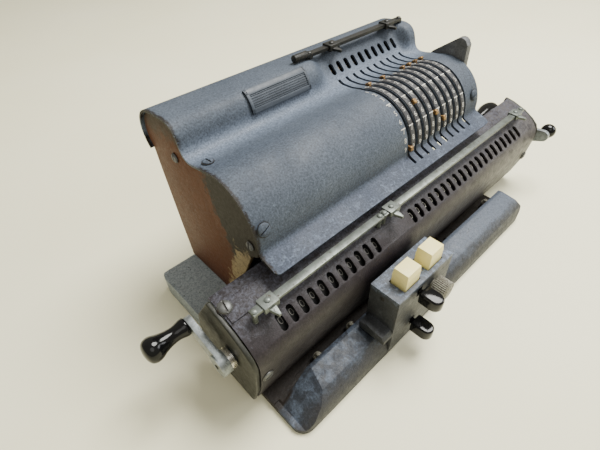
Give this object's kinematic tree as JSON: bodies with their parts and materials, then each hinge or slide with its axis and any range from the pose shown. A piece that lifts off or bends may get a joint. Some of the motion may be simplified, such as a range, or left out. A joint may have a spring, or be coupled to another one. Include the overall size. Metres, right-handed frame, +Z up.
{
  "type": "mechanical adding machine",
  "caption": "Pinwheel calculator: slotted drum casing with setting levers over a sliding windowed carriage, on a flat cast base with a two-key block, hand crank and clearing handles",
  "frame": {"origin": "centre of the base's flat underside, on the table, midway between the front and back edges", "axes": "+X runs along the machine to the crank side, +Y to the back, +Z up"},
  "size_m": [0.3965, 0.1898, 0.1489],
  "materials": {
    "grey": "matte blue-grey enamel, speckled and dusty",
    "base": "worn blue-grey enamel on a casting",
    "brown": "dark purple-brown enamel, worn pale along the bar",
    "olive": "dark olive-brown enamel",
    "copper": "copper-brown enamel, chipped at the foot",
    "plate": "dark blue-grey pressed plate, blank",
    "nickel": "aged nickel plate",
    "steel": "bright machined steel with light rust",
    "cast_arm": "smooth light-coloured casting",
    "brass": "tarnished brass",
    "black": "glossy black moulded resin",
    "ivory": "aged ivory-coloured moulded resin",
    "dial": "black enamelled number wheels"
  },
  "bodies": {
    "machine": {"base_casting": "base", "casing_cover": "grey", "left_end_plate": "copper", "right_end_plate": "grey", "back_plate": "grey", "nameplate": "plate", "crank_bracket": "grey", "top_decimal_bar": "steel", "slide_rail": "steel", "key_housing": "base", "cover_screw_valley": "nickel", "cover_screw_left": "nickel", "cover_screw_right": "nickel", "end_screw_front": "nickel", "end_screw_back": "nickel", "trough_stud_1": "steel", "trough_stud_2": "steel", "trough_stud_3": "steel", "trough_spring": "steel"},
    "carriage": {"carriage_cover": "brown", "carriage_end_left": "olive", "carriage_end_right": "olive", "carriage_frame": "steel", "counter_marker_bar": "nickel", "product_marker_bar": "nickel", "carriage_screw_top": "nickel", "carriage_screw_left": "nickel", "carriage_screw_right": "nickel"},
    "rotor": {"rotor": "steel"},
    "crank": {"crank_shaft": "steel", "crank_arm": "cast_arm"},
    "crank_grip": {"crank_grip": "black"},
    "clearing_crank": {"clearing_crank": "cast_arm"},
    "clearing_grip": {"clearing_grip": "black"},
    "clearing_lever": {"clearing_lever": "cast_arm", "clearing_ball": "black"},
    "check_dials": {"check_dials": "dial"},
    "counter_dials": {"counter_dials": "dial"},
    "product_dials": {"product_dials": "dial"},
    "key_left": {"key_left": "ivory"},
    "key_right": {"key_right": "ivory"},
    "knurled_knob": {"knurled_knob": "steel"},
    "upper_lever": {"upper_lever": "black"},
    "lower_lever": {"lower_lever": "black"},
    "top_marker_left": {"top_marker_left": "nickel"},
    "top_marker_right": {"top_marker_right": "nickel"},
    "counter_marker": {"counter_marker": "nickel"},
    "product_marker_left": {"product_marker_left": "nickel"},
    "product_marker_right": {"product_marker_right": "nickel"},
    "setting_lever_01": {"setting_lever_01": "brass"},
    "setting_lever_02": {"setting_lever_02": "brass"},
    "setting_lever_03": {"setting_lever_03": "brass"},
    "setting_lever_04": {"setting_lever_04": "brass"},
    "setting_lever_05": {"setting_lever_05": "brass"},
    "setting_lever_06": {"setting_lever_06": "brass"},
    "setting_lever_07": {"setting_lever_07": "brass"},
    "setting_lever_08": {"setting_lever_08": "brass"},
    "setting_lever_09": {"setting_lever_09": "brass"},
    "setting_lever_10": {"setting_lever_10": "brass"}
  },
  "joints": [
    {"name": "carriage_slide", "type": "slide", "parent": "machine", "child": "carriage", "axis": [1, 0, 0], "range_m": [-0.056, 0.024]},
    {"name": "rotor_turn", "type": "hinge", "parent": "machine", "child": "rotor", "pos_m": [0, 0.013, 0.095], "axis": [1, 0, 0], "continuous": true},
    {"name": "crank_turn", "type": "hinge", "parent": "machine", "child": "crank", "pos_m": [0.14, 0.046, 0.066], "axis": [1, 0, 0], "continuous": true},
    {"name": "crank_grip_spin", "type": "hinge", "parent": "crank", "child": "crank_grip", "pos_m": [0.17, 0.002, 0.048], "axis": [1, 0, 0], "continuous": true},
    {"name": "setting_lever_01_set", "type": "hinge", "parent": "rotor", "child": "setting_lever_01", "pos_m": [0.01455, 0.013, 0.095], "axis": [1, 0, 0], "range_deg": [-108, 0]},
    {"name": "setting_lever_02_set", "type": "hinge", "parent": "rotor", "child": "setting_lever_02", "pos_m": [0.02255, 0.013, 0.095], "axis": [1, 0, 0], "range_deg": [0, 108]},
    {"name": "setting_lever_03_set", "type": "hinge", "parent": "rotor", "child": "setting_lever_03", "pos_m": [0.03055, 0.013, 0.095], "axis": [1, 0, 0], "range_deg": [-60, 48]},
    {"name": "setting_lever_04_set", "type": "hinge", "parent": "rotor", "child": "setting_lever_04", "pos_m": [0.03855, 0.013, 0.095], "axis": [1, 0, 0], "range_deg": [0, 108]},
    {"name": "setting_lever_05_set", "type": "hinge", "parent": "rotor", "child": "setting_lever_05", "pos_m": [0.04655, 0.013, 0.095], "axis": [1, 0, 0], "range_deg": [-84, 24]},
    {"name": "setting_lever_06_set", "type": "hinge", "parent": "rotor", "child": "setting_lever_06", "pos_m": [0.05455, 0.013, 0.095], "axis": [1, 0, 0], "range_deg": [-96, 12]},
    {"name": "setting_lever_07_set", "type": "hinge", "parent": "rotor", "child": "setting_lever_07", "pos_m": [0.06255, 0.013, 0.095], "axis": [1, 0, 0], "range_deg": [0, 108]},
    {"name": "setting_lever_08_set", "type": "hinge", "parent": "rotor", "child": "setting_lever_08", "pos_m": [0.07055, 0.013, 0.095], "axis": [1, 0, 0], "range_deg": [0, 108]},
    {"name": "setting_lever_09_set", "type": "hinge", "parent": "rotor", "child": "setting_lever_09", "pos_m": [0.07855, 0.013, 0.095], "axis": [1, 0, 0], "range_deg": [0, 108]},
    {"name": "setting_lever_10_set", "type": "hinge", "parent": "rotor", "child": "setting_lever_10", "pos_m": [0.08655, 0.013, 0.095], "axis": [1, 0, 0], "range_deg": [0, 108]},
    {"name": "check_dials_turn", "type": "hinge", "parent": "machine", "child": "check_dials", "pos_m": [0.05, 0.061, 0.123], "axis": [1, 0, 0], "continuous": true},
    {"name": "counter_dials_turn", "type": "hinge", "parent": "carriage", "child": "counter_dials", "pos_m": [-0.09, -0.0359, 0.0531], "axis": [1, 0, 0], "continuous": true},
    {"name": "product_dials_turn", "type": "hinge", "parent": "carriage", "child": "product_dials", "pos_m": [0.07, -0.0359, 0.0531], "axis": [1, 0, 0], "continuous": true},
    {"name": "clearing_crank_turn", "type": "hinge", "parent": "carriage", "child": "clearing_crank", "pos_m": [-0.162, -0.031, 0.046], "axis": [1, 0, 0], "continuous": true},
    {"name": "clearing_grip_spin", "type": "hinge", "parent": "clearing_crank", "child": "clearing_grip", "pos_m": [-0.177, -0.002, 0.0535], "axis": [1, 0, 0], "continuous": true},
    {"name": "clearing_lever_turn", "type": "hinge", "parent": "carriage", "child": "clearing_lever", "pos_m": [0.178, -0.031, 0.046], "axis": [1, 0, 0], "range_deg": [-75, 0]},
    {"name": "top_marker_left_slide", "type": "slide", "parent": "machine", "child": "top_marker_left", "axis": [1, 0, 0], "range_m": [-0.014, 0.026]},
    {"name": "top_marker_right_slide", "type": "slide", "parent": "machine", "child": "top_marker_right", "axis": [1, 0, 0], "range_m": [-0.026, 0.009]},
    {"name": "counter_marker_slide", "type": "slide", "parent": "carriage", "child": "counter_marker", "axis": [1, 0, 0], "range_m": [-0.002, 0.085]},
    {"name": "product_marker_left_slide", "type": "slide", "parent": "carriage", "child": "product_marker_left", "axis": [1, 0, 0], "range_m": [0, 0.08]},
    {"name": "product_marker_right_slide", "type": "slide", "parent": "carriage", "child": "product_marker_right", "axis": [1, 0, 0], "range_m": [-0.08, 0.003]},
    {"name": "key_left_press", "type": "slide", "parent": "machine", "child": "key_left", "axis": [0, 0, -1], "range_m": [0, 0.006], "stiffness_N_per_m": 200},
    {"name": "key_right_press", "type": "slide", "parent": "machine", "child": "key_right", "axis": [0, 0, -1], "range_m": [0, 0.006], "stiffness_N_per_m": 200},
    {"name": "knurled_knob_turn", "type": "hinge", "parent": "machine", "child": "knurled_knob", "pos_m": [-0.031, -0.086, 0.044], "axis": [0, 1, 0], "continuous": true},
    {"name": "upper_lever_tilt", "type": "hinge", "parent": "machine", "child": "upper_lever", "pos_m": [-0.047, -0.0787, 0.05], "axis": [1, 0, 0], "range_deg": [-8, 8]},
    {"name": "lower_lever_tilt", "type": "hinge", "parent": "machine", "child": "lower_lever", "pos_m": [-0.047, -0.0787, 0.019], "axis": [1, 0, 0], "range_deg": [-8, 8]}
  ],
  "couplings": [
    {"joint": "crank_turn", "follows": "rotor_turn", "ratio": -1}
  ]
}
